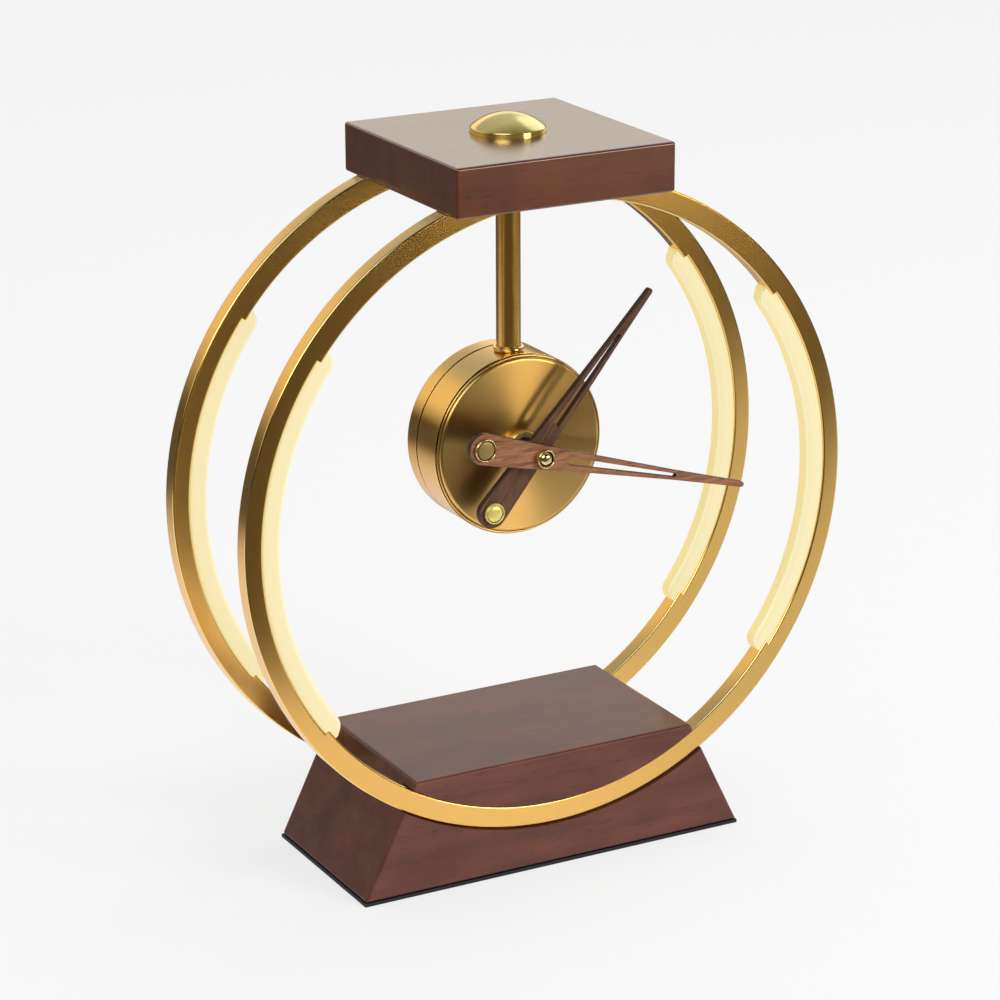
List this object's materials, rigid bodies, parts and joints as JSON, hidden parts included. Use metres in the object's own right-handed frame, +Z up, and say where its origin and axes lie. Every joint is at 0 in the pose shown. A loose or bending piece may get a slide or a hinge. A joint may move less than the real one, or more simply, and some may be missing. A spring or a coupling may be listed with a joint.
{
  "type": "desk lamp clock",
  "caption": "Desk clock and lamp: lit brass rings in a wooden charging base carry a wooden block with a dome button; a brass clock drum with wooden hands hangs on a rod between them.",
  "frame": {"origin": "centre of the base's underside, on the surface the clock stands on", "axes": "+Z up, +Y to the back, so the dial faces -Y and +X is the viewer's right; metres"},
  "size_m": [0.286, 0.1024, 0.3253],
  "materials": {
    "brushed_brass": "brushed, satin, along the rings and in circles on the dial",
    "polished_brass": "polished",
    "stained_wood": "dark reddish stained wood under satin lacquer",
    "walnut": "oiled walnut, fine grain",
    "light_diffuser": "warm white translucent, lit",
    "black_plastic": "moulded",
    "white_plastic": "moulded",
    "black_pad": "matt, non-slip",
    "plated_steel": "zinc plated",
    "copper_winding": "enamelled copper wire",
    "ferrite": "dark grey ceramic",
    "circuit_board": "green solder mask",
    "wire_cover": "red wire covering",
    "battery_jacket": "printed film sleeve left bare"
  },
  "bodies": {
    "stand": {"base_block": "stained_wood", "base_pad": "black_pad", "base_plate": "black_plastic", "base_screw_front_left": "plated_steel", "base_screw_front_right": "plated_steel", "base_screw_rear_left": "plated_steel", "base_screw_rear_right": "plated_steel", "battery": "battery_jacket", "battery_contact_left": "plated_steel", "battery_contact_right": "plated_steel", "button_spring": "plated_steel", "charger_board": "circuit_board", "charger_coil": "copper_winding", "charger_ferrite": "ferrite", "charger_holder": "white_plastic", "dial_nut": "polished_brass", "dial_plate": "brushed_brass", "diffuser_front_left": "light_diffuser", "diffuser_front_right": "light_diffuser", "diffuser_rear_left": "light_diffuser", "diffuser_rear_right": "light_diffuser", "drum_body": "brushed_brass", "inlet_wire": "wire_cover", "lamp_wires_front": "wire_cover", "lamp_wires_rear": "wire_cover", "led_strip_front_left": "white_plastic", "led_strip_front_right": "white_plastic", "led_strip_rear_left": "white_plastic", "led_strip_rear_right": "white_plastic", "movement_board": "circuit_board", "movement_case_front": "black_plastic", "movement_case_rear": "black_plastic", "power_inlet": "black_plastic", "ring_front": "brushed_brass", "ring_rear": "brushed_brass", "ring_screw_bottom_front": "plated_steel", "ring_screw_bottom_rear": "plated_steel", "ring_screw_top_front": "plated_steel", "ring_screw_top_rear": "plated_steel", "rod": "brushed_brass", "rod_collar": "polished_brass", "rod_nut_bottom": "plated_steel", "rod_nut_top": "plated_steel", "step_motor": "white_plastic", "switch_board": "circuit_board", "switch_body": "black_plastic", "switch_wire": "wire_cover", "top_block": "stained_wood", "train_plate": "black_plastic"},
    "minute": {"minute_shaft": "polished_brass", "minute_hand": "walnut", "minute_hand_cap": "polished_brass", "hand_nut": "polished_brass"},
    "hour": {"hour_wheel": "polished_brass", "hour_hand": "walnut", "hour_hand_cap": "polished_brass"},
    "motion": {"motion_wheel": "polished_brass"},
    "setting": {"setting_knob": "white_plastic"},
    "button": {"light_button": "polished_brass"},
    "cap": {"rear_cap": "brushed_brass"}
  },
  "joints": [
    {"name": "minute_turn", "type": "hinge", "parent": "stand", "child": "minute", "pos_m": [0, 0, 0.1827], "axis": [0, 1, 0], "continuous": true},
    {"name": "hour_turn", "type": "hinge", "parent": "stand", "child": "hour", "pos_m": [0, 0, 0.1827], "axis": [0, 1, 0], "continuous": true},
    {"name": "motion_turn", "type": "hinge", "parent": "stand", "child": "motion", "pos_m": [-0.00577, 0, 0.18847], "axis": [0, 1, 0], "continuous": true},
    {"name": "setting_turn", "type": "hinge", "parent": "stand", "child": "setting", "pos_m": [-0.00577, 0, 0.19663], "axis": [0, 1, 0], "continuous": true},
    {"name": "light_press", "type": "slide", "parent": "stand", "child": "button", "axis": [0, 0, -1], "range_m": [0, 0.0012], "stiffness_N_per_m": 600, "springref_m": -0.0005, "deforming": ["button_spring"]},
    {"name": "cap_pull", "type": "slide", "parent": "stand", "child": "cap", "axis": [0, 1, 0], "range_m": [0, 0.025]}
  ],
  "couplings": [
    {"joint": "hour_turn", "follows": "minute_turn", "ratio": 0.083333},
    {"joint": "motion_turn", "follows": "minute_turn", "ratio": -0.33333},
    {"joint": "setting_turn", "follows": "minute_turn", "ratio": 1}
  ]
}
